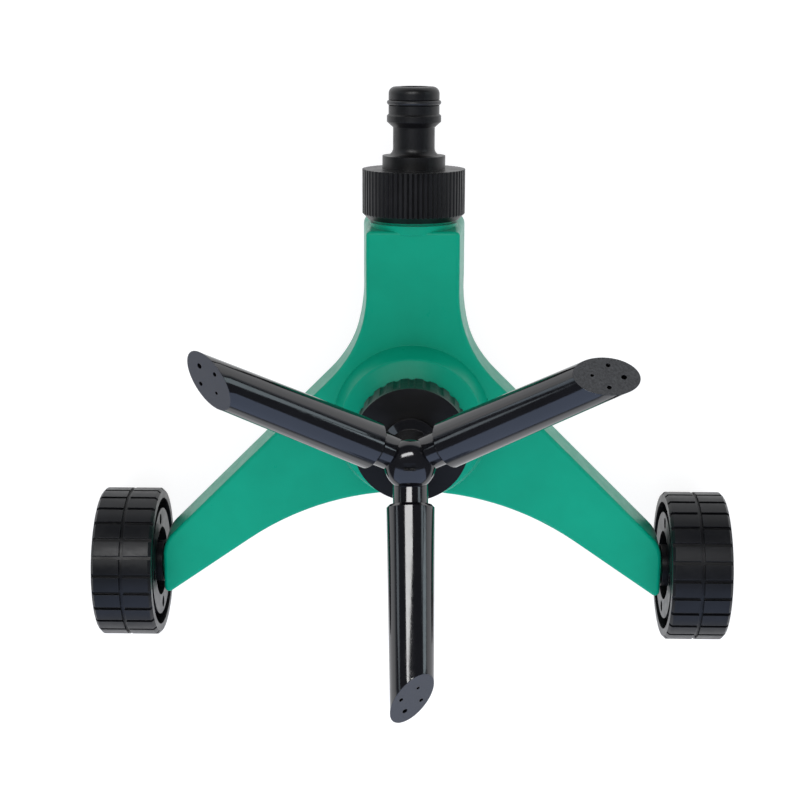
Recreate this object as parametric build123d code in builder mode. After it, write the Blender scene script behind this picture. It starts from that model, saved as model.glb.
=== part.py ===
from build123d import *
from math import cos, radians, sin, tan
import os

# A garden sprinkler: a Y-shaped moulded base on two wheels, fed by a hose at the end of its neck.
# A head with three adjustable nozzle tubes spins on a hollow spindle over the hub.
# Millimetres and degrees. X runs across the wheels, Y towards the hose and Z up from the ground.
# A reach is a distance along Y or along an arm, measured from the axis that the head spins on.

# Base plan
NECK_WIDTH = 30.0
NECK_REACH = 62.8
NECK_CORNER = 1.5
SHOULDER_REACH = 26.1  # where the leg's front edge, run on, would cross the neck's side
SHOULDER_RADIUS = 40.0
LEG_ANGLE = 45.0  # of the leg's front edge to the X axis
LEG_REACH = 83.4  # half the width over the two leg ends
LEG_CORNER = 10.0
ARCH_REACH = 23.6  # how far the rear arch lies behind the head's axis
ARCH_RADIUS = 95.0
ARCH_ANGLE = 34.9  # of the leg's rear edge to the X axis
REAR_CORNER = 1.5

# Base section
TOP_HEIGHT = 34.6
SKIN = 2.4
WALL = 2.2
DRAFT = 3.5  # the side walls lean out towards the ground
SKIRT_HEIGHT = 18.5  # of the legs' lower edge over the ground
FOOT_REACH = 44.0  # the neck stands on the ground from here to its end
FOOT_SLOPE = 17.0  # length over which the edge climbs from the ground to the skirt height
FOOT_ROUND = 9.0
TOP_ROUND = 1.2
RIB = 1.6
RIB_HEIGHT = 9.0  # depth of the legs' ribs under the skin
LEG_RIB_COUNT = 3
LEG_RIB_START = 42.0  # first cross rib, as a distance out along X
LEG_RIB_PITCH = 14.0
NECK_RIB_REACHES = (31.0, 49.0)
NECK_RIB_HEIGHT = 25.0

# Boss on the hub, and the threaded spigot that stands on it
BOSS_FOOT_RADIUS = 25.9
BOSS_RADIUS = 23.3
BOSS_HEIGHT = 43.6
BOSS_ROUND = 1.2
CROWN_RADIUS = 15.5
CROWN_HEIGHT = 47.3
SPIGOT_RADIUS = 13.1
SPIGOT_TOP = 56.7
SPIGOT_BORE = 8.6
SPIGOT_BORE_FLOOR = 44.0
SPIGOT_LEAD = 1.0  # chamfer at the mouth of both threaded spigots

# Water channel and the inlet spigot
INLET_HEIGHT = 20.9
CHANNEL_BORE = 5.5
CHANNEL_WALL = 2.2
INLET_RADIUS = 13.1
INLET_BORE = 9.0
INLET_BORE_DEPTH = 16.0
INLET_SPIGOT_REACH = 76.4
INLET_RING_RADIUS = 14.3
INLET_RING_WIDTH = 1.7

# Hose adaptor: a knurled nut and a quick connect nipple in one moulding
THREAD_GAP = 0.1
NUT_RADIUS = 16.7
NUT_BACK = 65.4
NUT_FACE = 81.6
NUT_CHAMFER = 2.0
NUT_FLOOR = 2.6
NUT_RIBS = 64
NUT_RIB_DEPTH = 0.45
FLANGE_RADIUS = 10.2
FLANGE_WIDTH = 4.3
NIPPLE_NECK_RADIUS = 6.75
NIPPLE_NECK_ROUND = 2.4
NIPPLE_RADIUS = 8.2
NIPPLE_BORE = 4.5
NIPPLE_REACH = 107.8
NIPPLE_TIP_ROUND = 2.2
LOCK_REACH = 94.9  # the locking collar starts here, behind its ramp
LOCK_RAMP = 1.8
LOCK_WIDTH = 1.9
LOCK_RADIUS = 8.75
NIPPLE_SEAL_REACH = 102.8
NIPPLE_SEAL_SECTION = 1.6
SEAL_GROOVE_SPARE = 0.3  # how much wider a groove is than the ring in it
WASHER_BORE = 9.2
WASHER_EDGE_GAP = 0.3

# Collar nut over the spigot, and the bearing stack that it clamps
COLLAR_RADIUS = 18.1
COLLAR_BASE = 47.8
COLLAR_TOP = 63.0
COLLAR_PLATE = 2.6
COLLAR_ROUND = 0.9
COLLAR_LOBES = 24
COLLAR_FLUTE_RADIUS = 1.5
COLLAR_FLUTE_DEPTH = 0.6
COLLAR_BAND = 2.5  # plain height over the flutes
GASKET_THICKNESS = 1.6
BUSH_NECK_RADIUS = 7.5
BUSH_FIT = 0.1

# Spindle and its rings
SPINDLE_RADIUS = 5.5
SPINDLE_BORE = 3.2
SPINDLE_RUN = 0.08  # radial running clearance in the bush
SPINDLE_FLANGE_RADIUS = 8.2
SPINDLE_FLANGE = 2.2
SPINDLE_SOCKET_DEPTH = 9.0
SEAL_THICKNESS = 1.0
THRUST_WASHER = 0.6
THRUST_GAP = 0.1  # between the washer and the bush
RING_FIT = 0.1  # radial, between the spindle and the rings on it

# Rotor head
BALL_HEIGHT = 80.2
BALL_RADIUS = 7.7
COLUMN_RADIUS = 6.6
COLUMN_BASE = 64.0
COLUMN_SKIRT_RADIUS = 9.0
COLUMN_SKIRT = 1.8
HEAD_BORE = 3.2
SLOT_LENGTH = 3.0
SLOT_WIDTH = 1.6
SLOT_DEPTH = 1.6
ARM_COUNT = 3
ARM_TILT = 25.0  # of an arm over the horizontal
HEAD_TURN = 271.0  # direction of the first arm as the head stands
STUB_RADIUS = 5.3
STUB_BORE = 3.4
STUB_REACH = 31.0
STUB_BEAD = 0.25
STUB_BEAD_REACH = 20.0
STUB_BEAD_LENGTH = 1.2
STUB_SEAL_REACH = 27.0
STUB_SEAL_SECTION = 1.0
SEAL_STAND = 0.05  # how far a tube's ring stands out of its groove

# Nozzle tubes
TUBE_START = 13.5
TUBE_REACH = 77.2
TUBE_ROOT_RADIUS = 7.25
TUBE_TIP_RADIUS = 6.35
TUBE_CHAMFER = 0.9
TUBE_RUN = 0.08  # radial clearance on the stub
TUBE_WALL = 1.6
TUBE_STEP = 0.45  # by how much the bore narrows past the stub
TUBE_END_GAP = 0.5
FACE_ANGLE = 43.0  # between the cut end and the tube's axis
FACE_WALL = 1.6
TUBE_ROLLS = (40.8, 56.0, 43.7)  # how far each tube is turned from straight up, as set in use
JETS = ((4.7, 0.0, 0.8), (0.4, 3.8, 0.65), (0.4, -3.8, 0.65), (-4.2, 0.0, 0.5))  # along, across, radius

# Wheels on their split stubs
WHEEL_RADIUS = 24.9
WHEEL_WIDTH = 19.7
WHEEL_INNER_FACE = 85.35
WHEEL_EDGE = 0.9
AXLE_REACH = 51.8  # how far the wheels' axis lies behind the head's axis
RIM = 3.4
WEB = 2.4
WEB_RECESS = 1.5
RING_INNER = 11.6
RING_OUTER = 18.0
RING_SET_BACK = 0.3
RING_HOLES = 4
RING_HOLE_RADIUS = 1.9
RING_HOLE_DEPTH = 8.0
SLEEVE_RADIUS = 7.0
SLEEVE_GAP = 0.4  # between the sleeve and the leg's end
SLEEVE_STOP = 3.2  # the bore's outer end lies this far inside the wheel's outer face
SNAP_POCKET_RADIUS = 6.0
TREAD_LUGS = 26
TREAD_DEPTH = 1.0
TREAD_GROOVE = 1.2
AXLE_RADIUS = 4.0
AXLE_RUN = 0.08
AXLE_SLIT = 1.0
AXLE_ROOT_RADIUS = 6.0
AXLE_ROOT = 7.0  # length of the thick root inside the leg
BARB_HEIGHT = 0.8
BARB_LENGTH = 2.4
BARB_GAP = 0.2

# Places worked out from the sizes above. The origin lies on the ground, midway along the object.
HUB_Y = (AXLE_REACH + WHEEL_RADIUS - NIPPLE_REACH) / 2
AXLE_Y = HUB_Y - AXLE_REACH
NECK_HALF = NECK_WIDTH / 2
ARM_STEP = 360 / ARM_COUNT
FLOOR_PLAN = Plane((0, HUB_Y, 0))
HUB_SECTION = Plane((0, HUB_Y, 0), x_dir=(1, 0, 0), z_dir=(0, -1, 0))
HUB_AXIS = Axis((0, HUB_Y, 0), (0, 0, 1))
INLET_SECTION = Plane((0, HUB_Y, INLET_HEIGHT))
INLET_AXIS = Axis((0, HUB_Y, INLET_HEIGHT), (0, 1, 0))
GASKET_TOP = SPIGOT_TOP + GASKET_THICKNESS
PLATE_UNDERSIDE = COLLAR_TOP - COLLAR_PLATE
CLAMPED_RADIUS = SPIGOT_RADIUS + THREAD_GAP - WASHER_EDGE_GAP
WASHER_TOP = GASKET_TOP - THRUST_GAP
SEAL_TOP = WASHER_TOP - THRUST_WASHER
FLANGE_TOP = SEAL_TOP - SEAL_THICKNESS
RING_BORE = SPINDLE_RADIUS + RING_FIT
BUSH_BORE = SPINDLE_RADIUS + SPINDLE_RUN
CHANNEL_RADIUS = CHANNEL_BORE + CHANNEL_WALL
INLET_BORE_START = INLET_SPIGOT_REACH - INLET_BORE_DEPTH
INLET_WIDENS = INLET_BORE_START - (INLET_BORE - CHANNEL_BORE)
SPIGOT_WIDENS = SPIGOT_BORE_FLOOR - (SPIGOT_BORE - CHANNEL_BORE)
NUT_BORE = INLET_RADIUS + THREAD_GAP
NUT_FLOOR_REACH = NUT_FACE - NUT_FLOOR
NUT_GROOVE_SIDE = NUT_RIB_DEPTH * 2**0.5
FLANGE_FACE = NUT_FACE + FLANGE_WIDTH
NIPPLE_SEAL_RING = LOCK_RADIUS - NIPPLE_SEAL_SECTION / 2
NIPPLE_GROOVE_FLOOR = LOCK_RADIUS - NIPPLE_SEAL_SECTION
NIPPLE_GROOVE_HALF = (NIPPLE_SEAL_SECTION + SEAL_GROOVE_SPARE) / 2
TUBE_BORE = STUB_RADIUS + TUBE_RUN
STUB_SEAL_RING = STUB_RADIUS + SEAL_STAND - STUB_SEAL_SECTION / 2
STUB_GROOVE_FLOOR = STUB_RADIUS + SEAL_STAND - STUB_SEAL_SECTION
STUB_GROOVE_HALF = (STUB_SEAL_SECTION + SEAL_GROOVE_SPARE) / 2
WHEEL_BORE = AXLE_RADIUS + AXLE_RUN
SLEEVE_START = LEG_REACH + (TOP_HEIGHT - WHEEL_RADIUS) * tan(radians(DRAFT)) + SLEEVE_GAP
WEB_START = WHEEL_INNER_FACE + WHEEL_WIDTH - WEB_RECESS - WEB
BORE_END = WHEEL_INNER_FACE + WHEEL_WIDTH - SLEEVE_STOP
BARB_START = BORE_END + BARB_GAP
TREAD_MIDDLE = WHEEL_INNER_FACE + WHEEL_WIDTH / 2
BALL_CENTRE = Vector(0, HUB_Y, BALL_HEIGHT)
os.makedirs("parts", exist_ok=True)


def save(part, name):
    """Label a finished piece and write it to its own file."""
    part.label = name
    export_step(part, f"parts/{name}.step")


def arm_direction(arm):
    """Unit vector outwards along an arm."""
    azimuth = radians(HEAD_TURN + arm * ARM_STEP)
    tilt = radians(ARM_TILT)
    return Vector(cos(azimuth) * cos(tilt), sin(azimuth) * cos(tilt), sin(tilt))


def arm_lean(arm):
    """Unit vector across an arm, towards the side that its tube is cut back on."""
    azimuth = radians(HEAD_TURN + arm * ARM_STEP)
    roll = radians(TUBE_ROLLS[arm])
    sideways = Vector(-sin(azimuth), cos(azimuth), 0)
    upwards = arm_direction(arm).cross(sideways)
    return upwards * cos(roll) + sideways * sin(roll)


def arm_section(arm):
    """Plane through an arm's axis: x runs outwards from the ball's centre and y is the radius."""
    outward = arm_direction(arm)
    return Plane(BALL_CENTRE, x_dir=outward, z_dir=outward.cross(arm_lean(arm)))


def arm_axis(arm):
    """Axis of an arm, outwards from the ball's centre."""
    return Axis(BALL_CENTRE, arm_direction(arm))


def axle_section(side):
    """Plane through the wheels' axis: x runs outwards to one side and y is the radius."""
    return Plane((0, AXLE_Y, WHEEL_RADIUS), x_dir=(side, 0, 0), z_dir=(0, -side, 0))


def wheel_face(side, reach):
    """Plane across the wheels' axis at a reach to one side, looking outwards."""
    return Plane((side * reach, AXLE_Y, WHEEL_RADIUS), x_dir=(0, 1, 0), z_dir=(side, 0, 0))


def base_outline(inset):
    """Plan of the base's top face about the hub, drawn in by the inset."""
    arch_centre = -ARCH_REACH - ARCH_RADIUS
    tangent = (ARCH_RADIUS * sin(radians(ARCH_ANGLE)), arch_centre + ARCH_RADIUS * cos(radians(ARCH_ANGLE)))
    halfway = (ARCH_RADIUS * sin(radians(ARCH_ANGLE / 2)), arch_centre + ARCH_RADIUS * cos(radians(ARCH_ANGLE / 2)))
    leg_front = SHOULDER_REACH - (LEG_REACH - NECK_HALF) * tan(radians(LEG_ANGLE))
    leg_rear = tangent[1] - (LEG_REACH - tangent[0]) * tan(radians(ARCH_ANGLE))
    with BuildSketch() as outline:
        with BuildLine():
            FilletPolyline(
                (0, NECK_REACH),
                (NECK_HALF, NECK_REACH),
                (NECK_HALF, SHOULDER_REACH),
                (LEG_REACH, leg_front),
                (LEG_REACH, leg_rear),
                tangent,
                radius=[NECK_CORNER, SHOULDER_RADIUS, LEG_CORNER, REAR_CORNER],
            )
            ThreePointArc(tangent, halfway, (0, -ARCH_REACH))
            mirror(about=Plane.YZ)
        make_face()
        if inset:
            offset(amount=-inset, kind=Kind.INTERSECTION, mode=Mode.REPLACE)
    return outline.sketch


# The base's hollow: open below, with the boss's own hollow above it
with BuildPart() as base_hollow:
    with BuildSketch(FLOOR_PLAN.offset(TOP_HEIGHT - SKIN)):
        add(base_outline(WALL))
    extrude(amount=-TOP_HEIGHT, taper=-DRAFT)
    with BuildSketch(HUB_SECTION):
        with BuildLine():
            Polyline(
                (0, TOP_HEIGHT - 2 * SKIN),
                (ARCH_REACH - WALL, TOP_HEIGHT - 2 * SKIN),
                (BOSS_RADIUS - WALL - BOSS_ROUND, BOSS_HEIGHT - SKIN),
                (CROWN_RADIUS, CROWN_HEIGHT - SKIN),
                (0, CROWN_HEIGHT - SKIN),
                close=True,
            )
        make_face()
    revolve(axis=HUB_AXIS)

# The water channel's bore: in through the neck, up through the hub
with BuildPart() as channel_bore:
    with BuildSketch(INLET_SECTION):
        with BuildLine():
            Polyline(
                (0, 0),
                (CHANNEL_BORE, 0),
                (CHANNEL_BORE, INLET_SPIGOT_REACH - INLET_BORE_DEPTH - (INLET_BORE - CHANNEL_BORE)),
                (INLET_BORE, INLET_SPIGOT_REACH - INLET_BORE_DEPTH),
                (INLET_BORE, INLET_SPIGOT_REACH),
                (0, INLET_SPIGOT_REACH),
                close=True,
            )
        make_face()
    revolve(axis=INLET_AXIS)
    with BuildSketch(HUB_SECTION):
        with BuildLine():
            Polyline(
                (0, INLET_HEIGHT - CHANNEL_BORE),
                (CHANNEL_BORE, INLET_HEIGHT - CHANNEL_BORE),
                (CHANNEL_BORE, SPIGOT_BORE_FLOOR - (SPIGOT_BORE - CHANNEL_BORE)),
                (SPIGOT_BORE, SPIGOT_BORE_FLOOR),
                (SPIGOT_BORE, SPIGOT_TOP),
                (0, SPIGOT_TOP),
                close=True,
            )
        make_face()
    revolve(axis=HUB_AXIS)

# The base's outside without its spigots: the drafted block and the boss on its hub
with BuildPart() as base_block:
    with BuildSketch(FLOOR_PLAN.offset(TOP_HEIGHT)):
        add(base_outline(0))
    extrude(amount=-TOP_HEIGHT, taper=-DRAFT)
    fillet(base_block.faces().sort_by(Axis.Z)[-1].edges(), radius=TOP_ROUND)
    with BuildSketch(HUB_SECTION) as boss_section:
        with BuildLine():
            Polyline(
                (0, TOP_HEIGHT - SKIN),
                (BOSS_FOOT_RADIUS, TOP_HEIGHT - SKIN),
                (BOSS_FOOT_RADIUS, TOP_HEIGHT),
                (BOSS_RADIUS, BOSS_HEIGHT),
                (CROWN_RADIUS, CROWN_HEIGHT),
                (0, CROWN_HEIGHT),
                close=True,
            )
        make_face()
        fillet(boss_section.vertices().sort_by(Axis.X)[-3], radius=BOSS_ROUND)
    revolve(axis=HUB_AXIS)

# Ribs under the skin: one along each leg, cross ribs in the legs and two deep ones in the neck
with BuildPart() as base_ribs:
    with BuildSketch(FLOOR_PLAN.offset(TOP_HEIGHT - SKIN / 2)):
        with BuildLine():
            for side in (1, -1):
                Line((0, 0), (side * LEG_REACH, -AXLE_REACH))
                for count in range(LEG_RIB_COUNT):
                    x = side * (LEG_RIB_START + count * LEG_RIB_PITCH)
                    Line((x, -LEG_REACH), (x, SHOULDER_REACH))
        trace(line_width=RIB)
    extrude(amount=-RIB_HEIGHT)
    with BuildSketch(FLOOR_PLAN.offset(TOP_HEIGHT - SKIN / 2)):
        with BuildLine():
            for reach in NECK_RIB_REACHES:
                Line((-NECK_WIDTH, reach), (NECK_WIDTH, reach))
        trace(line_width=RIB)
    extrude(amount=-NECK_RIB_HEIGHT)
    add(base_block.part, mode=Mode.INTERSECT)

# What lies under the skirt: flat over the legs, then down to the foot under the neck's end
with BuildPart() as below_skirt:
    with BuildSketch(Plane((0, HUB_Y, 0), x_dir=(0, 1, 0), z_dir=(1, 0, 0))) as skirt_line:
        with BuildLine():
            Polyline(
                (-LEG_REACH, -SKIRT_HEIGHT),
                (-LEG_REACH, SKIRT_HEIGHT),
                (FOOT_REACH - FOOT_SLOPE, SKIRT_HEIGHT),
                (FOOT_REACH, 0),
                (FOOT_REACH, -SKIRT_HEIGHT),
                close=True,
            )
        make_face()
        bend = skirt_line.vertices().group_by(Axis.Z)[-1].sort_by(Axis.Y)[-1]
        fillet(bend, radius=FOOT_ROUND)
    extrude(amount=LEG_REACH + NECK_WIDTH, both=True)

# The base: one moulding with both spigots, the channel, the ribs and the wheels' snap stubs
with BuildPart() as base:
    add(base_block.part)
    add(base_hollow.part, mode=Mode.SUBTRACT)
    add(base_ribs.part)
    add(below_skirt.part, mode=Mode.SUBTRACT)
    # The channel's tube, the ring against the neck's end and the inlet spigot
    with BuildSketch(INLET_SECTION):
        with BuildLine():
            Polyline(
                (0, 0),
                (CHANNEL_RADIUS, 0),
                (CHANNEL_RADIUS, INLET_WIDENS - CHANNEL_WALL),
                (INLET_BORE + CHANNEL_WALL, INLET_BORE_START - CHANNEL_WALL),
                (INLET_BORE + CHANNEL_WALL, NECK_REACH - WALL / 2),
                (INLET_RING_RADIUS, NECK_REACH - WALL / 2),
                (INLET_RING_RADIUS, NECK_REACH + INLET_RING_WIDTH),
                (INLET_RADIUS, NECK_REACH + INLET_RING_WIDTH),
                (INLET_RADIUS, INLET_SPIGOT_REACH - SPIGOT_LEAD),
                (INLET_RADIUS - SPIGOT_LEAD, INLET_SPIGOT_REACH),
                (0, INLET_SPIGOT_REACH),
                close=True,
            )
        make_face()
    revolve(axis=INLET_AXIS)
    # The riser under the hub and the spigot on the boss
    with BuildSketch(HUB_SECTION):
        with BuildLine():
            Polyline(
                (0, INLET_HEIGHT - CHANNEL_RADIUS),
                (CHANNEL_RADIUS, INLET_HEIGHT - CHANNEL_RADIUS),
                (CHANNEL_RADIUS, SPIGOT_WIDENS - CHANNEL_WALL),
                (SPIGOT_BORE + CHANNEL_WALL, SPIGOT_BORE_FLOOR - CHANNEL_WALL),
                (SPIGOT_BORE + CHANNEL_WALL, CROWN_HEIGHT - SKIN / 2),
                (SPIGOT_RADIUS, CROWN_HEIGHT - SKIN / 2),
                (SPIGOT_RADIUS, SPIGOT_TOP - SPIGOT_LEAD),
                (SPIGOT_RADIUS - SPIGOT_LEAD, SPIGOT_TOP),
                (0, SPIGOT_TOP),
                close=True,
            )
        make_face()
    revolve(axis=HUB_AXIS)
    add(channel_bore.part, mode=Mode.SUBTRACT)
    # The stubs at the leg ends, each with a thick root, a barb and a slit that lets the barb spring
    for side in (1, -1):
        with BuildSketch(axle_section(side)):
            with BuildLine():
                Polyline(
                    (LEG_REACH - AXLE_ROOT, 0),
                    (LEG_REACH - AXLE_ROOT, AXLE_ROOT_RADIUS),
                    (LEG_REACH, AXLE_ROOT_RADIUS),
                    (LEG_REACH, AXLE_RADIUS),
                    (BARB_START, AXLE_RADIUS),
                    (BARB_START, AXLE_RADIUS + BARB_HEIGHT),
                    (BARB_START + BARB_LENGTH, AXLE_RADIUS - BARB_HEIGHT),
                    (BARB_START + BARB_LENGTH, 0),
                    close=True,
                )
            make_face()
        revolve(axis=Axis((0, AXLE_Y, WHEEL_RADIUS), (side, 0, 0)))
        with BuildSketch(axle_section(side)):
            with BuildLine():
                Line((LEG_REACH + AXLE_SLIT, 0), (BARB_START + 2 * BARB_LENGTH, 0))
            trace(line_width=4 * AXLE_RADIUS)
        extrude(amount=AXLE_SLIT / 2, both=True, mode=Mode.SUBTRACT)
save(base.part, "base")


def ring(name, section_radius, centre, plane, axis):
    """A rubber ring of round section, with its section's centre given on a plane through its axis."""
    with BuildPart() as seal:
        with BuildSketch(plane):
            with Locations(centre):
                Circle(section_radius)
        revolve(axis=axis)
    save(seal.part, name)


def flat_ring(name, inner, outer, low, high, plane, axis):
    """A flat ring between two radii, from a low to a high station along its axis."""
    with BuildPart() as washer:
        with BuildSketch(plane):
            with BuildLine():
                Polyline((inner, low), (outer, low), (outer, high), (inner, high), close=True)
            make_face()
        revolve(axis=axis)
    save(washer.part, name)


# The hose adaptor, turned about the inlet's axis
with BuildPart() as hose_adaptor:
    with BuildSketch(INLET_SECTION) as adaptor_section:
        with BuildLine():
            Polyline(
                (NUT_BORE, NUT_BACK),
                (NUT_RADIUS - NUT_CHAMFER, NUT_BACK),
                (NUT_RADIUS, NUT_BACK + NUT_CHAMFER),
                (NUT_RADIUS, NUT_FACE),
                (FLANGE_RADIUS, NUT_FACE),
                (FLANGE_RADIUS, FLANGE_FACE),
                (NIPPLE_NECK_RADIUS + NIPPLE_NECK_ROUND, FLANGE_FACE),
            )
            RadiusArc(
                (NIPPLE_NECK_RADIUS + NIPPLE_NECK_ROUND, FLANGE_FACE),
                (NIPPLE_NECK_RADIUS, FLANGE_FACE + NIPPLE_NECK_ROUND),
                NIPPLE_NECK_ROUND,
            )
            Polyline(
                (NIPPLE_NECK_RADIUS, FLANGE_FACE + NIPPLE_NECK_ROUND),
                (NIPPLE_NECK_RADIUS, LOCK_REACH),
                (LOCK_RADIUS, LOCK_REACH + LOCK_RAMP),
                (LOCK_RADIUS, LOCK_REACH + LOCK_RAMP + LOCK_WIDTH),
                (NIPPLE_RADIUS, LOCK_REACH + LOCK_RAMP + LOCK_WIDTH + LOCK_RADIUS - NIPPLE_RADIUS),
                (NIPPLE_RADIUS, NIPPLE_SEAL_REACH - NIPPLE_GROOVE_HALF),
                (NIPPLE_GROOVE_FLOOR, NIPPLE_SEAL_REACH - NIPPLE_GROOVE_HALF),
                (NIPPLE_GROOVE_FLOOR, NIPPLE_SEAL_REACH + NIPPLE_GROOVE_HALF),
                (NIPPLE_RADIUS, NIPPLE_SEAL_REACH + NIPPLE_GROOVE_HALF),
                (NIPPLE_RADIUS, NIPPLE_REACH),
                (NIPPLE_BORE, NIPPLE_REACH),
                (NIPPLE_BORE, NUT_FLOOR_REACH),
                (NUT_BORE, NUT_FLOOR_REACH),
                (NUT_BORE, NUT_BACK),
            )
        make_face()
        tip = adaptor_section.vertices().group_by(Axis.Y)[-1].sort_by(Axis.X)[-1]
        fillet(tip, radius=NIPPLE_TIP_ROUND)
    revolve(axis=INLET_AXIS)
    with BuildSketch(Plane((0, HUB_Y + NUT_BACK, INLET_HEIGHT), x_dir=(1, 0, 0), z_dir=(0, 1, 0))):
        with PolarLocations(NUT_RADIUS, NUT_RIBS):
            Rectangle(NUT_GROOVE_SIDE, NUT_GROOVE_SIDE, rotation=45)
    extrude(amount=NUT_FACE - NUT_BACK, mode=Mode.SUBTRACT)
save(hose_adaptor.part, "hose_adaptor")

ring("adaptor_o_ring", NIPPLE_SEAL_SECTION / 2, (NIPPLE_SEAL_RING, NIPPLE_SEAL_REACH), INLET_SECTION, INLET_AXIS)
flat_ring(
    "inlet_washer", WASHER_BORE, CLAMPED_RADIUS, INLET_SPIGOT_REACH, NUT_FLOOR_REACH, INLET_SECTION, INLET_AXIS
)
flat_ring("collar_gasket", WASHER_BORE, CLAMPED_RADIUS, SPIGOT_TOP, GASKET_TOP, HUB_SECTION, HUB_AXIS)

# The bearing bush: a wide flange that the collar clamps, and a neck that the spindle turns in
with BuildPart() as bearing_bush:
    with BuildSketch(HUB_SECTION):
        with BuildLine():
            Polyline(
                (BUSH_BORE, GASKET_TOP),
                (CLAMPED_RADIUS, GASKET_TOP),
                (CLAMPED_RADIUS, PLATE_UNDERSIDE),
                (BUSH_NECK_RADIUS, PLATE_UNDERSIDE),
                (BUSH_NECK_RADIUS, COLLAR_TOP),
                (BUSH_BORE, COLLAR_TOP),
                close=True,
            )
        make_face()
    revolve(axis=HUB_AXIS)
save(bearing_bush.part, "bearing_bush")

# The collar nut: a cap with fluted sides and a smooth band round its top
with BuildPart() as collar:
    with BuildSketch(HUB_SECTION) as collar_section:
        with BuildLine():
            Polyline(
                (SPIGOT_RADIUS + THREAD_GAP, COLLAR_BASE),
                (COLLAR_RADIUS, COLLAR_BASE),
                (COLLAR_RADIUS, COLLAR_TOP),
                (BUSH_NECK_RADIUS + BUSH_FIT, COLLAR_TOP),
                (BUSH_NECK_RADIUS + BUSH_FIT, PLATE_UNDERSIDE),
                (SPIGOT_RADIUS + THREAD_GAP, PLATE_UNDERSIDE),
                close=True,
            )
        make_face()
        rim = collar_section.vertices().group_by(Axis.Z)[-1].sort_by(Axis.X)[-1]
        fillet(rim, radius=COLLAR_ROUND)
    revolve(axis=HUB_AXIS)
    with BuildSketch(FLOOR_PLAN.offset(COLLAR_BASE)):
        with PolarLocations(COLLAR_RADIUS + COLLAR_FLUTE_RADIUS - COLLAR_FLUTE_DEPTH, COLLAR_LOBES):
            Circle(COLLAR_FLUTE_RADIUS)
    extrude(amount=COLLAR_TOP - COLLAR_BASE - COLLAR_BAND, mode=Mode.SUBTRACT)
save(collar.part, "collar")

# The hollow spindle: a flange under the bush, a journal through it and a plain end in the head
with BuildPart() as spindle:
    with BuildSketch(HUB_SECTION):
        with BuildLine():
            Polyline(
                (SPINDLE_BORE, FLANGE_TOP - SPINDLE_FLANGE),
                (SPINDLE_FLANGE_RADIUS, FLANGE_TOP - SPINDLE_FLANGE),
                (SPINDLE_FLANGE_RADIUS, FLANGE_TOP),
                (SPINDLE_RADIUS, FLANGE_TOP),
                (SPINDLE_RADIUS, COLUMN_BASE + SPINDLE_SOCKET_DEPTH),
                (SPINDLE_BORE, COLUMN_BASE + SPINDLE_SOCKET_DEPTH),
                close=True,
            )
        make_face()
    revolve(axis=HUB_AXIS)
save(spindle.part, "spindle")
flat_ring("spindle_seal", RING_BORE, SPINDLE_FLANGE_RADIUS, FLANGE_TOP, SEAL_TOP, HUB_SECTION, HUB_AXIS)
flat_ring("thrust_washer", RING_BORE, SPINDLE_FLANGE_RADIUS, SEAL_TOP, WASHER_TOP, HUB_SECTION, HUB_AXIS)


# The rotor head: a ball on a column, with a stub for each arm
with BuildPart() as rotor_head:
    with Locations(BALL_CENTRE):
        Sphere(BALL_RADIUS)
    with BuildSketch(HUB_SECTION):
        with BuildLine():
            Polyline(
                (0, COLUMN_BASE),
                (COLUMN_SKIRT_RADIUS, COLUMN_BASE),
                (COLUMN_SKIRT_RADIUS, COLUMN_BASE + COLUMN_SKIRT),
                (COLUMN_RADIUS, COLUMN_BASE + COLUMN_SKIRT + COLUMN_SKIRT_RADIUS - COLUMN_RADIUS),
                (COLUMN_RADIUS, BALL_HEIGHT),
                (0, BALL_HEIGHT),
                close=True,
            )
        make_face()
    revolve(axis=HUB_AXIS)
    for arm in range(ARM_COUNT):
        with BuildSketch(arm_section(arm)):
            with BuildLine():
                Polyline(
                    (0, 0),
                    (0, STUB_RADIUS),
                    (STUB_BEAD_REACH - STUB_BEAD_LENGTH, STUB_RADIUS),
                    (STUB_BEAD_REACH, STUB_RADIUS + STUB_BEAD),
                    (STUB_BEAD_REACH + STUB_BEAD_LENGTH, STUB_RADIUS),
                    (STUB_SEAL_REACH - STUB_GROOVE_HALF, STUB_RADIUS),
                    (STUB_SEAL_REACH - STUB_GROOVE_HALF, STUB_GROOVE_FLOOR),
                    (STUB_SEAL_REACH + STUB_GROOVE_HALF, STUB_GROOVE_FLOOR),
                    (STUB_SEAL_REACH + STUB_GROOVE_HALF, STUB_RADIUS),
                    (STUB_REACH, STUB_RADIUS),
                    (STUB_REACH, 0),
                    close=True,
                )
            make_face()
        revolve(axis=arm_axis(arm))
    for arm in range(ARM_COUNT):
        with BuildSketch(arm_section(arm)):
            with BuildLine():
                Polyline((0, 0), (0, STUB_BORE), (STUB_REACH, STUB_BORE), (STUB_REACH, 0), close=True)
            make_face()
        revolve(axis=arm_axis(arm), mode=Mode.SUBTRACT)
    with BuildSketch(HUB_SECTION):
        with BuildLine():
            Polyline(
                (0, COLUMN_BASE),
                (SPINDLE_RADIUS, COLUMN_BASE),
                (SPINDLE_RADIUS, COLUMN_BASE + SPINDLE_SOCKET_DEPTH),
                (HEAD_BORE, COLUMN_BASE + SPINDLE_SOCKET_DEPTH),
                (HEAD_BORE, BALL_HEIGHT),
                (0, BALL_HEIGHT),
                close=True,
            )
        make_face()
    revolve(axis=HUB_AXIS, mode=Mode.SUBTRACT)
    with BuildSketch(FLOOR_PLAN.offset(BALL_HEIGHT + BALL_RADIUS - SLOT_DEPTH)):
        Rectangle(SLOT_LENGTH, SLOT_WIDTH)
    extrude(amount=2 * SLOT_DEPTH, mode=Mode.SUBTRACT)
save(rotor_head.part, "rotor_head")


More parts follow.
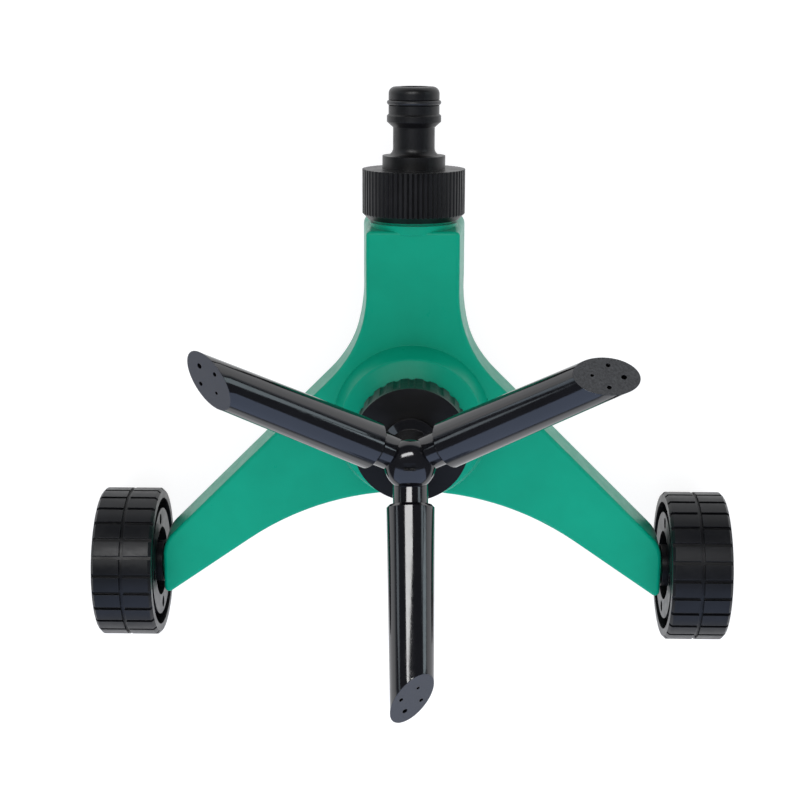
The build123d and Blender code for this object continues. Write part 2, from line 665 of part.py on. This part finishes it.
def nozzle_tube(arm, name):
    """A tapered tube over one stub, with its end cut on a slant and closed by a wall with four jets."""
    outward = arm_direction(arm)
    lean = arm_lean(arm)
    slant = radians(FACE_ANGLE)
    along_face = outward * cos(slant) - lean * sin(slant)
    face_normal = outward * sin(slant) + lean * cos(slant)
    face_centre = BALL_CENTRE + outward * (TUBE_REACH - TUBE_TIP_RADIUS / tan(slant))
    face = Plane(face_centre, x_dir=along_face, z_dir=face_normal)
    with BuildPart() as inside:
        with BuildSketch(arm_section(arm)):
            with BuildLine():
                Polyline(
                    (0, 0),
                    (0, TUBE_BORE),
                    (STUB_BEAD_REACH - STUB_BEAD_LENGTH, TUBE_BORE),
                    (STUB_BEAD_REACH, TUBE_BORE + STUB_BEAD),
                    (STUB_BEAD_REACH + STUB_BEAD_LENGTH, TUBE_BORE),
                    (STUB_REACH + TUBE_END_GAP, TUBE_BORE),
                    (STUB_REACH + TUBE_END_GAP, TUBE_ROOT_RADIUS - TUBE_WALL - TUBE_STEP),
                    (TUBE_REACH, TUBE_TIP_RADIUS - TUBE_WALL),
                    (TUBE_REACH, 0),
                    close=True,
                )
            make_face()
        revolve(axis=arm_axis(arm))
        split(bisect_by=face.offset(-FACE_WALL), keep=Keep.BOTTOM)
    with BuildPart() as tube:
        with BuildSketch(arm_section(arm)):
            with BuildLine():
                Polyline(
                    (TUBE_START, 0),
                    (TUBE_START, TUBE_ROOT_RADIUS - TUBE_CHAMFER),
                    (TUBE_START + TUBE_CHAMFER, TUBE_ROOT_RADIUS),
                    (TUBE_REACH, TUBE_TIP_RADIUS),
                    (TUBE_REACH, 0),
                    close=True,
                )
            make_face()
        revolve(axis=arm_axis(arm))
        split(bisect_by=face, keep=Keep.BOTTOM)
        add(inside.part, mode=Mode.SUBTRACT)
        with BuildSketch(face):
            for along, across, radius in JETS:
                with Locations((along, across)):
                    Circle(radius)
        extrude(amount=-2 * FACE_WALL, mode=Mode.SUBTRACT)
    save(tube.part, name)


for arm, place in enumerate(("rear", "right", "left")):
    nozzle_tube(arm, f"nozzle_tube_{place}")
    ring(
        f"tube_o_ring_{place}",
        STUB_SEAL_SECTION / 2,
        (STUB_SEAL_REACH, STUB_SEAL_RING),
        arm_section(arm),
        arm_axis(arm),
    )


def wheel(side, name):
    """A wheel on one side: rim, outer web, inner ring and sleeve turned about the axle, then the tread cut."""
    axis = Axis((0, AXLE_Y, WHEEL_RADIUS), (side, 0, 0))
    inner = WHEEL_INNER_FACE
    outer = WHEEL_INNER_FACE + WHEEL_WIDTH
    with BuildPart() as wheel_part:
        with BuildSketch(axle_section(side)):
            with BuildLine():
                Polyline(
                    (SLEEVE_START, WHEEL_BORE),
                    (SLEEVE_START, SLEEVE_RADIUS),
                    (WEB_START, SLEEVE_RADIUS),
                    (WEB_START, RING_INNER),
                    (inner + RING_SET_BACK, RING_INNER),
                    (inner + RING_SET_BACK, RING_OUTER),
                    (WEB_START, RING_OUTER),
                    (WEB_START, WHEEL_RADIUS - RIM),
                    (inner, WHEEL_RADIUS - RIM),
                    (inner, WHEEL_RADIUS - WHEEL_EDGE),
                    (inner + WHEEL_EDGE, WHEEL_RADIUS),
                    (TREAD_MIDDLE - TREAD_GROOVE / 2, WHEEL_RADIUS),
                    (TREAD_MIDDLE - TREAD_GROOVE / 2, WHEEL_RADIUS - TREAD_DEPTH),
                    (TREAD_MIDDLE + TREAD_GROOVE / 2, WHEEL_RADIUS - TREAD_DEPTH),
                    (TREAD_MIDDLE + TREAD_GROOVE / 2, WHEEL_RADIUS),
                    (outer - WHEEL_EDGE, WHEEL_RADIUS),
                    (outer, WHEEL_RADIUS - WHEEL_EDGE),
                    (outer, WHEEL_RADIUS - RIM),
                    (outer - WEB_RECESS, WHEEL_RADIUS - RIM),
                    (outer - WEB_RECESS, SNAP_POCKET_RADIUS),
                    (BORE_END, SNAP_POCKET_RADIUS),
                    (BORE_END, WHEEL_BORE),
                    close=True,
                )
            make_face()
        revolve(axis=axis)
        with BuildSketch(wheel_face(side, inner + RING_SET_BACK)):
            with PolarLocations((RING_INNER + RING_OUTER) / 2, RING_HOLES, start_angle=90):
                Circle(RING_HOLE_RADIUS)
        extrude(amount=RING_HOLE_DEPTH, mode=Mode.SUBTRACT)
        with BuildSketch(wheel_face(side, inner)):
            with PolarLocations(WHEEL_RADIUS, TREAD_LUGS, start_angle=90 + 180 / TREAD_LUGS):
                Rectangle(2 * TREAD_DEPTH, TREAD_GROOVE)
        extrude(amount=WHEEL_WIDTH, mode=Mode.SUBTRACT)
    save(wheel_part.part, name)


wheel(1, "wheel_right")
wheel(-1, "wheel_left")
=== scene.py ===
import math

import bmesh
import bpy
from mathutils import Euler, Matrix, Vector


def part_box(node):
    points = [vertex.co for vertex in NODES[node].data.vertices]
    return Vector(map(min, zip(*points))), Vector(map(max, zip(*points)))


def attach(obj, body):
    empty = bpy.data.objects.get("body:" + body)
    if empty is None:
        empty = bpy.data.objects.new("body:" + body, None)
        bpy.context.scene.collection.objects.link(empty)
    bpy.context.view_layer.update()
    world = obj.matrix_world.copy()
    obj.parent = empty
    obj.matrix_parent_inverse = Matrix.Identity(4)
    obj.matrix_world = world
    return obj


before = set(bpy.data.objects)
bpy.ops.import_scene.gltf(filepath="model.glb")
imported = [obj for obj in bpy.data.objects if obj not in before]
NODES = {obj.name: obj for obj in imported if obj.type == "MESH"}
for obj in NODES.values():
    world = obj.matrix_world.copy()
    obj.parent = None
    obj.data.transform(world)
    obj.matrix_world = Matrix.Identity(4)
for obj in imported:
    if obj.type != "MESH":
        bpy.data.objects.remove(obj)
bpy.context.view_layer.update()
MM = 0.001

# Places taken from the frame, in metres
SPINDLE_LOW, SPINDLE_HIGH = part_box("spindle")
HUB_Y = (SPINDLE_LOW[1] + SPINDLE_HIGH[1]) / 2
HEAD_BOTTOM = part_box("rotor_head")[0][2]

# The camera, fitted to the photograph
CAMERA_LENS = 70.95465
CAMERA_SENSOR = 36.0
CAMERA_NEAR = 0.01
CAMERA_FAR = 50.0
CAMERA_PLACE = (5.66 * MM, HUB_Y + 127.81 * MM, 536.07 * MM)
CAMERA_DEGREES = (-13.47023, 1.13914, 0.14614)

# Sockets of a mix node, by number because several share a name
MIX_FACTOR = 0
MIX_NUMBERS, MIX_NUMBER_RESULT = (2, 3), 0
MIX_COLOURS, MIX_COLOUR_RESULT = (6, 7), 2

# The part of 0 to 1 that a noise texture mostly keeps to: soft clouds, specks and pits
CLOUD_RANGE = (0.3, 0.7)
SPECK_RANGE = (0.35, 0.75)
PIT_RANGE = (0.35, 0.7)

BEVEL_SAMPLES = 4
SINK_DEPTH = 0.03 * MM  # of the slow waves in a moulded surface
GRAIN_GLOSS = (-0.02, 0.05)  # what specks take from and add to the roughness
SHEEN_ROUGH = 0.2
SHEEN_TINT = (0.85, 1.0, 1.0)

# Cosines between the true and the bevelled normal: where the painted edge highlight begins, and where it is at
# full strength
EDGE_BEGINS = 0.995
EDGE_FULL_HIGHLIGHT = 0.9
# How the painted highlight colour of an edge is made from the light one: a factor, and an amount added to it
EDGE_GAIN = 1.6
EDGE_LIFT = 0.03
# Cosines between the normal and the cut face's direction: off the face, and on it
FACE_OFF = 0.985
FACE_ON = 0.995
FACE_DIGITS = 2  # normals that agree to so many digits belong to one flat face

# The steel washer's turned rings
RINGS_SCALE = 900.0
RINGS_WANDER = 1.5
RINGS_DEPTH = 0.004 * MM
STEEL_ROUGH = (0.26, 0.4)
STEEL_DARK = (0.48, 0.49, 0.5)
STEEL_LIGHT = (0.62, 0.63, 0.64)

# The cap over the head's stubs: its radius, and heights above the head's lower end
CAP_RADIUS = 7.8 * MM
CAP_LOW = HEAD_BOTTOM + 9.0 * MM
CAP_SHOULDER = HEAD_BOTTOM + 21.0 * MM
CAP_TOP = HEAD_BOTTOM + 26.2 * MM
CAP_LEAD = 0.6 * MM  # the chamfer round its lower end
CAP_LEAD_SHARE = 0.93
CAP_FULLNESS = 0.82  # below 1 the round top is fuller than an ellipse
CAP_STEPS = 20
CAP_SIDES = 96
CAP_SHARP = 35  # degrees
SLOT_SIZE = (3.5 * MM, 1.9 * MM, 3.2 * MM)
SLOT_SHIFT = 0.6 * MM  # from the hub's axis, along +Y

FLOOR_REACH = 6.0
FLOOR_GLOW = 0.87
FLOOR_SHADE = (0.25, 0.25, 0.26)  # the part of the seen floor that takes shadows
FLOOR_PAPER = (0.8, 0.8, 0.8)  # the floor that throws light back at the object
WHITE = (1.0, 1.0, 1.0)
SKY_HORIZON = (0.6, 0.64, 0.7)
SKY_OVERHEAD = (0.085, 0.09, 0.105)
SKY_SOFT = (0.6, 0.6, 0.6)
HORIZON_FADE = 0.16  # height on the unit sky where the bright horizon has faded
LAMPS_AIM = Vector((0.0, HUB_Y, 60 * MM))


def add_to_scene(name, data):
    """A new object that holds this data, in the scene's own collection."""
    added = bpy.data.objects.new(name, data)
    bpy.context.scene.collection.objects.link(added)
    return added


class Graph:
    """A node tree under construction."""

    def __init__(self, tree):
        self.tree = tree
        tree.nodes.clear()

    def add(self, kind, inputs=None, **settings):
        node = self.tree.nodes.new(kind)
        for key, value in settings.items():
            setattr(node, key, value)
        for key, value in (inputs or {}).items():
            self.put(node.inputs[key], value)
        return node

    def put(self, socket, value):
        """Link a socket, or set a constant on it."""
        if isinstance(value, bpy.types.NodeSocket):
            self.tree.links.new(value, socket)
        else:
            socket.default_value = value

    def finish(self, shader, kind="ShaderNodeOutputMaterial"):
        self.add(kind, {"Surface": shader.outputs[0]})

    def math(self, operation, *values, clamp=False):
        node = self.add("ShaderNodeMath", operation=operation, use_clamp=clamp)
        for socket, value in zip(node.inputs, values):
            self.put(socket, value)
        return node.outputs[0]

    def vector(self, operation, first, second):
        node = self.add("ShaderNodeVectorMath", {0: first, 1: second}, operation=operation)
        return node.outputs

    def spread(self, value, low, high, to_low=0.0, to_high=1.0, smooth=False):
        """Map low..high to to_low..to_high, held at both ends."""
        node = self.add("ShaderNodeMapRange", {"Value": value, "From Min": low, "From Max": high,
                                               "To Min": to_low, "To Max": to_high})
        if smooth:
            node.interpolation_type = "SMOOTHSTEP"
        return node.outputs["Result"]

    def noise(self, where, size, detail, rough=0.5):
        node = self.add("ShaderNodeTexNoise", {"Vector": where, "Scale": 1 / size, "Detail": detail,
                                               "Roughness": rough})
        return node.outputs["Fac"]

    def bump(self, height, distance, strength, under=None):
        node = self.add("ShaderNodeBump", {"Height": height, "Distance": distance, "Strength": strength})
        if under is not None:
            self.put(node.inputs["Normal"], under)
        return node.outputs["Normal"]

    def mix(self, factor, first, second, data_type="FLOAT", sockets=MIX_NUMBERS, result=MIX_NUMBER_RESULT):
        node = self.add("ShaderNodeMix", data_type=data_type)
        for socket, value in zip((MIX_FACTOR, *sockets), (factor, first, second)):
            self.put(node.inputs[socket], value)
        return node.outputs[result]

    def blend(self, factor, first, second):
        """Mix two colours."""
        return self.mix(factor, first, second, "RGBA", MIX_COLOURS, MIX_COLOUR_RESULT)


def colour(r, g, b):
    return (r, g, b, 1.0)


def new_material(name):
    material = bpy.data.materials.new(name)
    material.use_nodes = True
    return material, Graph(material.node_tree)


def moulded(name, dark, light, rough, grain, grain_depth, edge, painted_edge_highlight=0.0, specular=0.5, sheen=0.0,
            patch=18 * MM, cut=None):
    """A moulded plastic: cloudy colour, uneven gloss, fine mould grain, slight sinks, and softened edges that can
    be painted paler as a highlight.
    cut describes a flat cut face that gets its own gloss, grain and colour."""
    material, g = new_material(name)
    where = g.add("ShaderNodeTexCoord").outputs
    place = where["Object"]
    cloud = g.spread(g.noise(place, patch, 4.0, 0.55), *CLOUD_RANGE)
    base = g.blend(cloud, colour(*dark), colour(*light))
    gloss = g.spread(g.noise(place, patch / 3, 5.0, 0.6), *CLOUD_RANGE, *rough)
    speck = g.spread(g.noise(place, grain * 3, 2.0, 0.6), *SPECK_RANGE, *GRAIN_GLOSS)
    gloss = g.math("ADD", gloss, speck, clamp=True)
    soft = g.add("ShaderNodeBevel", {"Radius": edge}, samples=BEVEL_SAMPLES).outputs["Normal"]
    normal = g.bump(g.noise(place, patch / 2, 1.0, 0.4), SINK_DEPTH, 0.5, soft)
    normal = g.bump(g.noise(place, grain, 3.0, 0.6), grain_depth, 0.6, normal)
    if painted_edge_highlight:
        # Moulded edges are painted paler: mostly a painted highlight for the glint of their rounded edges, with a
        # little rubbing
        turn = g.vector("DOT_PRODUCT", soft, g.add("ShaderNodeNewGeometry").outputs["Normal"])["Value"]
        highlit_edge = g.spread(turn, EDGE_BEGINS, EDGE_FULL_HIGHLIGHT, 0.0, painted_edge_highlight)
        base = g.blend(highlit_edge, base, colour(*[min(1.0, c * EDGE_GAIN + EDGE_LIFT) for c in light]))
    if cut is not None:
        facing = g.vector("DOT_PRODUCT", where["Normal"], cut["direction"])["Value"]
        on_face = g.spread(facing, FACE_OFF, FACE_ON)
        pits = g.noise(place, cut["grain"], 4.0, 0.7)
        pitted = g.blend(g.spread(pits, *PIT_RANGE), colour(*cut["dark"]), colour(*cut["light"]))
        base = g.blend(on_face, base, pitted)
        gloss = g.mix(on_face, gloss, g.spread(pits, *PIT_RANGE, *cut["rough"]))
        normal = g.bump(g.math("MULTIPLY", pits, on_face), cut["depth"], 1.0, normal)
    g.finish(g.add("ShaderNodeBsdfPrincipled", {
        "Base Color": base, "Roughness": gloss, "Normal": normal, "Specular IOR Level": specular,
        "Sheen Weight": sheen, "Sheen Roughness": SHEEN_ROUGH, "Sheen Tint": colour(*SHEEN_TINT)}))
    return material


def brushed(name):
    """Stainless washer metal, with fine rings turned into it."""
    material, g = new_material(name)
    place = g.add("ShaderNodeTexCoord").outputs["Object"]
    from_hub = g.vector("SUBTRACT", place, (0.0, HUB_Y, 0.0))[0]
    rings = g.add("ShaderNodeTexWave", {"Vector": from_hub, "Scale": RINGS_SCALE, "Distortion": RINGS_WANDER,
                                        "Detail": 2.0}, wave_type="RINGS", rings_direction="Z").outputs["Fac"]
    tone = g.spread(g.noise(place, 4 * MM, 3.0), *CLOUD_RANGE)
    base = g.blend(tone, colour(*STEEL_DARK), colour(*STEEL_LIGHT))
    g.finish(g.add("ShaderNodeBsdfPrincipled", {
        "Base Color": base, "Roughness": g.spread(rings, 0.0, 1.0, *STEEL_ROUGH),
        "Normal": g.bump(rings, RINGS_DEPTH, 0.5), "Metallic": 1.0}))
    return material


def cut_direction(node):
    """The direction of a nozzle tube's slant-cut face: the largest flat patch on its mesh."""
    areas = {}
    for face in NODES[node].data.polygons:
        key = tuple(round(c, FACE_DIGITS) for c in face.normal)
        areas[key] = areas.get(key, 0.0) + face.area
    return tuple(Vector(max(areas, key=areas.get)).normalized())


def cap(name):
    """The round cap over the head's stubs, turned about the hub's axis, with a moulded slot in its top."""
    profile = [(CAP_RADIUS * CAP_LEAD_SHARE, CAP_LOW), (CAP_RADIUS, CAP_LOW + CAP_LEAD)]
    for i in range(CAP_STEPS):
        turn = math.pi / 2 * i / CAP_STEPS
        profile.append((CAP_RADIUS * math.cos(turn) ** CAP_FULLNESS,
                        CAP_SHOULDER + (CAP_TOP - CAP_SHOULDER) * math.sin(turn)))
    angles = [2 * math.pi * k / CAP_SIDES for k in range(CAP_SIDES)]
    bm = bmesh.new()
    rings = [[bm.verts.new((r * math.cos(a), HUB_Y + r * math.sin(a), z)) for a in angles] for r, z in profile]
    sides = [(k, (k + 1) % CAP_SIDES) for k in range(CAP_SIDES)]
    for lower, upper in zip(rings, rings[1:]):
        for k, following in sides:
            bm.faces.new((lower[k], lower[following], upper[following], upper[k]))
    bm.faces.new(list(reversed(rings[0])))
    tip = bm.verts.new((0.0, HUB_Y, CAP_TOP))
    for k, following in sides:
        bm.faces.new((rings[-1][k], rings[-1][following], tip))
    bmesh.ops.recalc_face_normals(bm, faces=bm.faces)
    mesh = bpy.data.meshes.new(name)
    bm.to_mesh(mesh)
    bm.free()
    piece = add_to_scene(name, mesh)

    bm = bmesh.new()
    bmesh.ops.create_cube(bm, size=1.0)
    bmesh.ops.scale(bm, vec=SLOT_SIZE, verts=bm.verts)
    bmesh.ops.translate(bm, vec=(0.0, HUB_Y + SLOT_SHIFT, CAP_TOP), verts=bm.verts)
    slot_mesh = bpy.data.meshes.new("slot_cut")
    bm.to_mesh(slot_mesh)
    bm.free()
    cutter = add_to_scene("slot_cut", slot_mesh)
    cut = piece.modifiers.new("slot", "BOOLEAN")
    cut.operation = "DIFFERENCE"
    cut.solver = "EXACT"
    cut.object = cutter
    bpy.context.view_layer.update()
    done = bpy.data.meshes.new_from_object(piece.evaluated_get(bpy.context.evaluated_depsgraph_get()))
    piece.modifiers.clear()
    piece.data = done
    bpy.data.objects.remove(cutter)
    for face in done.polygons:
        face.use_smooth = True
    done.set_sharp_from_angle(angle=math.radians(CAP_SHARP))
    done.materials.clear()
    done.materials.append(GLOSS_BLACK)
    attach(piece, "rotor")


def make_floor():
    """A pale floor that looks white to the camera and in reflections, and keeps the object's shadow."""
    mesh = bpy.data.meshes.new("floor")
    corners = [(x * FLOOR_REACH, y * FLOOR_REACH, 0) for x, y in ((-1, -1), (1, -1), (1, 1), (-1, 1))]
    mesh.from_pydata(corners, [], [(0, 1, 2, 3)])
    floor = add_to_scene("floor", mesh)
    material, g = new_material("floor")
    path = g.add("ShaderNodeLightPath").outputs
    seen = g.math("MAXIMUM", g.math("MAXIMUM", path["Is Camera Ray"], path["Is Glossy Ray"]),
                  path["Is Transmission Ray"])
    glow = g.add("ShaderNodeEmission", {"Color": colour(*WHITE), "Strength": FLOOR_GLOW})
    shadow = g.add("ShaderNodeBsdfDiffuse", {"Color": colour(*FLOOR_SHADE)})
    paper = g.add("ShaderNodeBsdfDiffuse", {"Color": colour(*FLOOR_PAPER)})
    shown = g.add("ShaderNodeAddShader", {0: glow.outputs[0], 1: shadow.outputs[0]})
    g.finish(g.add("ShaderNodeMixShader", {0: seen, 1: paper.outputs[0], 2: shown.outputs[0]}))
    mesh.materials.append(material)


def make_world():
    """In reflections bright at the horizon and dark overhead, even for soft light, white to the camera."""
    world = bpy.data.worlds.new("world")
    bpy.context.scene.world = world
    world.use_nodes = True
    g = Graph(world.node_tree)
    up = g.add("ShaderNodeTexCoord").outputs["Generated"]
    height = g.add("ShaderNodeSeparateXYZ", {0: up}).outputs["Z"]
    rise = g.spread(height, 0.0, HORIZON_FADE, smooth=True)
    path = g.add("ShaderNodeLightPath").outputs
    shade = g.blend(rise, colour(*SKY_HORIZON), colour(*SKY_OVERHEAD))
    shade = g.blend(path["Is Diffuse Ray"], shade, colour(*SKY_SOFT))
    shade = g.blend(path["Is Camera Ray"], shade, colour(*WHITE))
    g.finish(g.add("ShaderNodeBackground", {"Color": shade, "Strength": 1.0}), "ShaderNodeOutputWorld")


def softbox(name, lean, distance, size, radiance, tint=WHITE, diffuse=True, glossy=True):
    """An area lamp aimed at the hub, leaning so many degrees to +X and to +Y from overhead.
    A lamp that is not diffuse only makes highlights; one that is not glossy only lights."""
    data = bpy.data.lights.new(name, "AREA")
    data.shape = "RECTANGLE"
    data.size, data.size_y = size
    data.energy = radiance * math.pi * data.size * data.size_y
    data.color = tint
    lamp = add_to_scene(name, data)
    away = Vector([math.tan(math.radians(a)) for a in lean] + [1.0]).normalized()
    lamp.location = LAMPS_AIM + away * distance
    lamp.rotation_euler = away.to_track_quat("Z", "Y").to_euler()
    lamp.visible_diffuse = diffuse
    lamp.visible_glossy = glossy


camera_data = bpy.data.cameras.new("camera")
camera_data.lens = CAMERA_LENS
camera_data.sensor_width = CAMERA_SENSOR
camera_data.clip_start = CAMERA_NEAR
camera_data.clip_end = CAMERA_FAR
camera = add_to_scene("camera", camera_data)
camera.location = CAMERA_PLACE
camera.rotation_euler = Euler([math.radians(a) for a in CAMERA_DEGREES], "XYZ")
bpy.context.scene.camera = camera
bpy.context.scene.view_settings.view_transform = "Standard"

GREEN = moulded("green_plastic", (0.0004, 0.295, 0.180), (0.0006, 0.33, 0.203), (0.28, 0.38),
                grain=0.45 * MM, grain_depth=0.01 * MM, edge=0.35 * MM, painted_edge_highlight=0.25, specular=0.1, sheen=0.15)
MATT_BLACK = moulded("black_plastic", (0.0028, 0.0026, 0.0027), (0.0055, 0.005, 0.0053), (0.34, 0.46),
                     grain=0.35 * MM, grain_depth=0.012 * MM, edge=0.2 * MM, painted_edge_highlight=0.2, specular=0.4)
GLOSS = {"dark": (0.0035, 0.0035, 0.0045), "light": (0.006, 0.006, 0.0075), "rough": (0.07, 0.12),
         "grain": 0.8 * MM, "grain_depth": 0.004 * MM, "edge": 0.25 * MM, "painted_edge_highlight": 0.15, "specular": 0.75}
GLOSS_BLACK = moulded("gloss_black_plastic", **GLOSS)
WHEEL_BLACK = moulded("wheel_plastic", (0.004, 0.0045, 0.0055), (0.008, 0.0085, 0.011), (0.30, 0.40),
                      grain=0.4 * MM, grain_depth=0.012 * MM, edge=0.25 * MM, painted_edge_highlight=0.25, specular=0.28)
RUBBER = moulded("rubber", (0.008, 0.008, 0.009), (0.014, 0.014, 0.015), (0.3, 0.42),
                 grain=0.25 * MM, grain_depth=0.01 * MM, edge=0.1 * MM, patch=5 * MM)
ACETAL = moulded("acetal", (0.66, 0.65, 0.61), (0.74, 0.73, 0.69), (0.3, 0.4),
                 grain=0.3 * MM, grain_depth=0.006 * MM, edge=0.1 * MM, patch=6 * MM)
STEEL = brushed("steel")

# The slant-cut faces: the right one is worn and pitted, the other two are still smooth
SMOOTH_CUT = {"dark": (0.016, 0.019, 0.028), "light": (0.024, 0.028, 0.040), "rough": (0.36, 0.50),
              "grain": 0.5 * MM, "depth": 0.03 * MM}
WORN_CUT = {"dark": (0.008, 0.009, 0.012), "light": (0.055, 0.058, 0.064), "rough": (0.54, 0.68),
            "grain": 0.7 * MM, "depth": 0.12 * MM}

FINISH = {
    "base": GREEN, "collar": MATT_BLACK, "hose_adaptor": MATT_BLACK, "rotor_head": GLOSS_BLACK,
    "wheel_right": WHEEL_BLACK, "wheel_left": WHEEL_BLACK, "bearing_bush": ACETAL, "spindle": ACETAL,
    "thrust_washer": STEEL, "spindle_seal": RUBBER, "collar_gasket": RUBBER, "inlet_washer": RUBBER,
    "adaptor_o_ring": RUBBER, "tube_o_ring_rear": RUBBER, "tube_o_ring_right": RUBBER,
    "tube_o_ring_left": RUBBER,
}
for side, cut_look in (("rear", SMOOTH_CUT), ("left", SMOOTH_CUT), ("right", WORN_CUT)):
    tube = "nozzle_tube_" + side
    FINISH[tube] = moulded("gloss_black_plastic_" + side, cut={"direction": cut_direction(tube), **cut_look},
                           **GLOSS)
for node, finish in FINISH.items():
    for slot in NODES[node].material_slots:
        slot.material = finish

cap("head_dome")
make_floor()
make_world()

COOL = (0.78, 0.93, 1.0)
softbox("overhead", (-10, 30), 1.3, (0.8, 0.30), 9.5, diffuse=False)
softbox("rear_panel", (0, -49), 1.2, (2.4, 1.45), 1.1, (0.56, 0.69, 1.0))
softbox("right_line", (69, 26), 1.2, (0.20, 0.24), 2.6, COOL, diffuse=False)
softbox("right_panel", (65, 46), 1.2, (0.30, 0.36), 2.0, COOL, diffuse=False)
softbox("left_line", (-69, 26), 1.2, (0.20, 0.24), 1.5, (0.8, 0.92, 1.0), diffuse=False)
softbox("left_panel", (-72, 64), 1.2, (0.36, 0.44), 1.2, (0.72, 0.86, 1.0), diffuse=False)
softbox("soft_fill", (4, -6), 1.2, (1.6, 1.6), 1.0, glossy=False)
